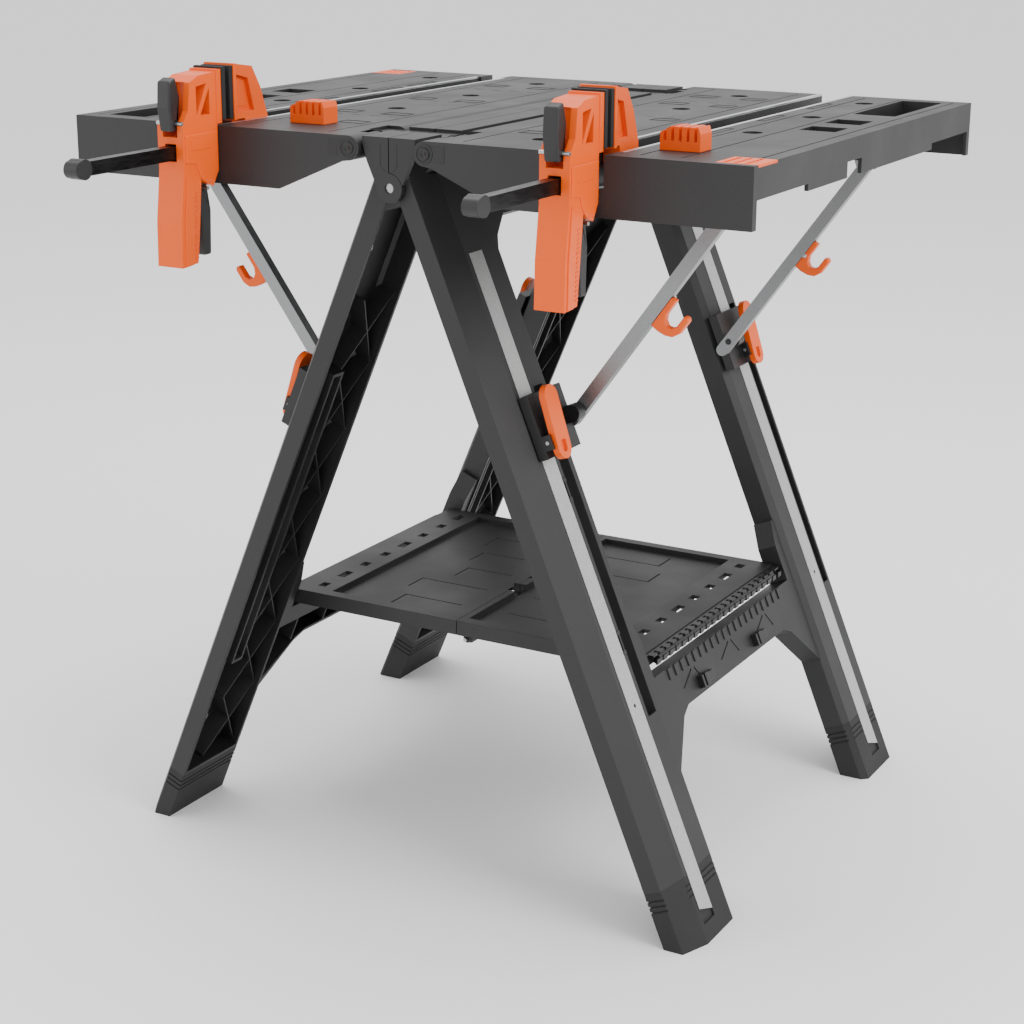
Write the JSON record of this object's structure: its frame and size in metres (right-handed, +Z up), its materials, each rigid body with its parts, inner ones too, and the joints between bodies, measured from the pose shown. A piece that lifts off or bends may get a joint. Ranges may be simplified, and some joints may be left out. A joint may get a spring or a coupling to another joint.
{
  "type": "folding sawhorse",
  "caption": "Folding sawhorse and work table: two scissor leg frames, two drop-leaf tops with clamp slots, a folding shelf, sliding stays, two bar clamps and two bench dogs.",
  "frame": {"origin": "on the floor, under the centre of the top", "axes": "+Z up, +X to the right along the front edge, +Y from front to back"},
  "size_m": [0.787, 0.848, 0.874],
  "materials": {
    "aluminium_rail": "satin",
    "bar_steel": "satin",
    "clamp_plastic": "satin",
    "clip_plastic": "satin",
    "foot_plastic": "matt",
    "frame_plastic": "satin",
    "galvanised_strip": "satin",
    "orange_plastic": "satin",
    "pad_rubber": "matt",
    "shelf_plastic": "satin",
    "slider_plastic": "satin",
    "stay_steel": "satin",
    "steel_bracket": "satin",
    "steel_pin": "satin",
    "top_plastic": "satin"
  },
  "bodies": {
    "left_frame": {"left_leg_frame": "frame_plastic", "left_feet": "foot_plastic", "left_steel_strips": "galvanised_strip", "left_retainer_clips": "clip_plastic", "left_panel_cleats": "clip_plastic", "left_hinge_pins": "steel_pin", "pivot_pins": "steel_pin", "shelf_end_pin": "steel_pin"},
    "left_top": {"left_top_panel": "top_plastic", "left_slot_rails": "aluminium_rail", "left_corner_insert": "orange_plastic", "left_stay_brackets": "steel_bracket"},
    "left_stays_pair": {"left_stays": "stay_steel", "left_stay_hooks": "orange_plastic"},
    "left_slider_pair": {"left_sliders": "slider_plastic", "left_latch_pins": "steel_pin"},
    "left_front_latch_lever": {"left_front_latch": "orange_plastic"},
    "left_back_latch_lever": {"left_back_latch": "orange_plastic"},
    "left_clamp": {"left_clamp_housing": "orange_plastic", "left_clamp_near_pad": "pad_rubber", "left_clamp_pins": "steel_pin"},
    "left_clamp_slide": {"left_clamp_bar": "bar_steel", "left_clamp_far_jaw": "orange_plastic", "left_clamp_far_pad": "pad_rubber", "left_clamp_bar_stop": "clamp_plastic"},
    "left_trigger": {"left_clamp_trigger": "clamp_plastic"},
    "left_release": {"left_clamp_release": "clamp_plastic"},
    "left_dog": {"left_bench_dog": "orange_plastic"},
    "right_frame": {"right_leg_frame": "frame_plastic", "right_feet": "foot_plastic", "right_steel_strips": "galvanised_strip", "right_retainer_clips": "clip_plastic", "right_panel_cleats": "clip_plastic", "right_hinge_pins": "steel_pin"},
    "right_top": {"right_top_panel": "top_plastic", "right_slot_rails": "aluminium_rail", "right_corner_insert": "orange_plastic", "right_stay_brackets": "steel_bracket"},
    "right_stays_pair": {"right_stays": "stay_steel", "right_stay_hooks": "orange_plastic"},
    "right_slider_pair": {"right_sliders": "slider_plastic", "right_latch_pins": "steel_pin"},
    "right_front_latch_lever": {"right_front_latch": "orange_plastic"},
    "right_back_latch_lever": {"right_back_latch": "orange_plastic"},
    "right_clamp": {"right_clamp_housing": "orange_plastic", "right_clamp_near_pad": "pad_rubber", "right_clamp_pins": "steel_pin"},
    "right_clamp_slide": {"right_clamp_bar": "bar_steel", "right_clamp_far_jaw": "orange_plastic", "right_clamp_far_pad": "pad_rubber", "right_clamp_bar_stop": "clamp_plastic"},
    "right_trigger": {"right_clamp_trigger": "clamp_plastic"},
    "right_release": {"right_clamp_release": "clamp_plastic"},
    "right_dog": {"right_bench_dog": "orange_plastic"},
    "shelf_left": {"shelf_left_half": "shelf_plastic", "shelf_centre_pin": "steel_pin"},
    "shelf_right": {"shelf_right_half": "shelf_plastic", "shelf_end_leaf": "clip_plastic"}
  },
  "joints": [
    {"name": "legs_fold", "type": "hinge", "parent": "left_frame", "child": "right_frame", "pos_m": [0, 0, 0.7627], "axis": [0, 1, 0], "range_deg": [0, 45.32]},
    {"name": "shelf_left_fold", "type": "hinge", "parent": "left_frame", "child": "shelf_left", "pos_m": [-0.234, 0, 0.256], "axis": [0, -1, 0], "range_deg": [0, 67.16]},
    {"name": "shelf_centre_fold", "type": "hinge", "parent": "shelf_left", "child": "shelf_right", "pos_m": [0, 0, 0.236], "axis": [0, 1, 0], "range_deg": [0, 179.69]},
    {"name": "right_top_fold", "type": "hinge", "parent": "right_frame", "child": "right_top", "pos_m": [0.0445, 0, 0.8005], "axis": [0, 1, 0], "range_deg": [0, 67.09]},
    {"name": "right_stay_turn", "type": "hinge", "parent": "right_top", "child": "right_stays_pair", "pos_m": [0.322, 0, 0.758], "axis": [0, -1, 0], "range_deg": [0, 134.18]},
    {"name": "right_slider_turn", "type": "hinge", "parent": "right_stays_pair", "child": "right_slider_pair", "pos_m": [0.15749, 0, 0.53052], "axis": [0, 1, 0], "range_deg": [0, 67.09]},
    {"name": "right_front_latch_press", "type": "hinge", "parent": "right_slider_pair", "child": "right_front_latch_lever", "pos_m": [0.15939, -0.2515, 0.5118], "axis": [0, 1, 0], "range_deg": [0, 8], "stiffness_Nm_per_rad": 0.5},
    {"name": "right_back_latch_press", "type": "hinge", "parent": "right_slider_pair", "child": "right_back_latch_lever", "pos_m": [0.15939, 0.2515, 0.5118], "axis": [0, 1, 0], "range_deg": [0, 8], "stiffness_Nm_per_rad": 0.5},
    {"name": "right_clamp_lift", "type": "slide", "parent": "right_top", "child": "right_clamp", "axis": [0, 0, 1], "range_m": [0, 0.1]},
    {"name": "right_clamp_open", "type": "slide", "parent": "right_clamp", "child": "right_clamp_slide", "axis": [0, 1, 0], "range_m": [0, 0.1]},
    {"name": "right_trigger_squeeze", "type": "hinge", "parent": "right_clamp", "child": "right_trigger", "pos_m": [0.221, -0.3369, 0.751], "axis": [-1, 0, 0], "range_deg": [0, 9], "stiffness_Nm_per_rad": 0.6},
    {"name": "right_release_press", "type": "hinge", "parent": "right_clamp", "child": "right_release", "pos_m": [0.221, -0.3759, 0.82], "axis": [1, 0, 0], "range_deg": [0, 8], "stiffness_Nm_per_rad": 0.4},
    {"name": "left_top_fold", "type": "hinge", "parent": "left_frame", "child": "left_top", "pos_m": [-0.0445, 0, 0.8005], "axis": [0, -1, 0], "range_deg": [0, 67.09]},
    {"name": "left_stay_turn", "type": "hinge", "parent": "left_top", "child": "left_stays_pair", "pos_m": [-0.322, 0, 0.758], "axis": [0, 1, 0], "range_deg": [0, 134.18]},
    {"name": "left_slider_turn", "type": "hinge", "parent": "left_stays_pair", "child": "left_slider_pair", "pos_m": [-0.15749, 0, 0.53052], "axis": [0, -1, 0], "range_deg": [0, 67.09]},
    {"name": "left_front_latch_press", "type": "hinge", "parent": "left_slider_pair", "child": "left_front_latch_lever", "pos_m": [-0.15939, 0.2515, 0.5118], "axis": [0, -1, 0], "range_deg": [0, 8], "stiffness_Nm_per_rad": 0.5},
    {"name": "left_back_latch_press", "type": "hinge", "parent": "left_slider_pair", "child": "left_back_latch_lever", "pos_m": [-0.15939, -0.2515, 0.5118], "axis": [0, -1, 0], "range_deg": [0, 8], "stiffness_Nm_per_rad": 0.5},
    {"name": "left_clamp_lift", "type": "slide", "parent": "left_top", "child": "left_clamp", "axis": [0, 0, 1], "range_m": [0, 0.1]},
    {"name": "left_clamp_open", "type": "slide", "parent": "left_clamp", "child": "left_clamp_slide", "axis": [0, 1, 0], "range_m": [0, 0.1]},
    {"name": "left_trigger_squeeze", "type": "hinge", "parent": "left_clamp", "child": "left_trigger", "pos_m": [-0.221, -0.3369, 0.751], "axis": [-1, 0, 0], "range_deg": [0, 9], "stiffness_Nm_per_rad": 0.6},
    {"name": "left_release_press", "type": "hinge", "parent": "left_clamp", "child": "left_release", "pos_m": [-0.221, -0.3759, 0.82], "axis": [1, 0, 0], "range_deg": [0, 8], "stiffness_Nm_per_rad": 0.4},
    {"name": "right_dog_lift", "type": "slide", "parent": "right_top", "child": "right_dog", "axis": [0, 0, 1], "range_m": [0, 0.018]},
    {"name": "left_dog_lift", "type": "slide", "parent": "left_top", "child": "left_dog", "axis": [0, 0, 1], "range_m": [0, 0.018]}
  ],
  "couplings": [
    {"joint": "shelf_left_fold", "follows": "legs_fold", "ratio": 1.482},
    {"joint": "shelf_centre_fold", "follows": "legs_fold", "ratio": 3.965},
    {"joint": "right_stay_turn", "follows": "right_top_fold", "ratio": 2},
    {"joint": "right_slider_turn", "follows": "right_top_fold", "ratio": 1},
    {"joint": "right_clamp_lift", "follows": "right_top_fold", "m_per_rad": 0.0854},
    {"joint": "left_stay_turn", "follows": "left_top_fold", "ratio": 2},
    {"joint": "left_slider_turn", "follows": "left_top_fold", "ratio": 1},
    {"joint": "left_clamp_lift", "follows": "left_top_fold", "m_per_rad": 0.0854}
  ]
}
